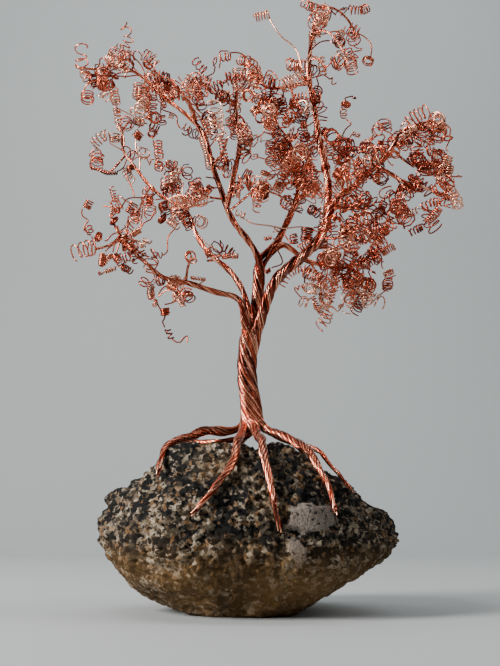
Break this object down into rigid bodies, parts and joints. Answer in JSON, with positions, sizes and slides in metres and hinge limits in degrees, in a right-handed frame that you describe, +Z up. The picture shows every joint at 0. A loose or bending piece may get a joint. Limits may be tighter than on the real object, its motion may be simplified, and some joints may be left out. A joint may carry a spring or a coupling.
{
  "type": "copper wire tree sculpture on rock",
  "caption": "Ornamental tree of twisted copper wire with coiled foliage, its roots spread over a rough granite rock.",
  "frame": {"origin": "middle of the rock's worn flat underside, on the surface that it stands on", "axes": "+Z up along the trunk, -Y towards the front, +X to the right as seen from the front"},
  "size_m": [0.1553, 0.0842, 0.2555],
  "materials": {
    "granite": "rough broken granite with black mica, grey quartz and cream to tan feldspar",
    "copper_low_left": "bare drawn copper wire",
    "copper_mid_left": "bare drawn copper wire",
    "copper_high_left": "bare drawn copper wire, a little darkened",
    "copper_upright": "bare drawn copper wire",
    "copper_crown": "bare drawn copper wire, a little darkened",
    "copper_crown_left": "bare drawn copper wire",
    "copper_centre": "bare drawn copper wire",
    "copper_right": "bare drawn copper wire",
    "copper_right_low": "bare drawn copper wire",
    "copper_back_right": "bare drawn copper wire"
  },
  "bodies": {
    "root": {"granite_rock": "granite", "bundle_low_left": "copper_low_left", "bundle_mid_left": "copper_mid_left", "bundle_high_left": "copper_high_left", "bundle_upright": "copper_upright", "bundle_crown": "copper_crown", "bundle_crown_left": "copper_crown_left", "bundle_centre": "copper_centre", "bundle_right": "copper_right", "bundle_right_low": "copper_right_low", "bundle_back_right": "copper_back_right"}
  },
  "joints": []
}
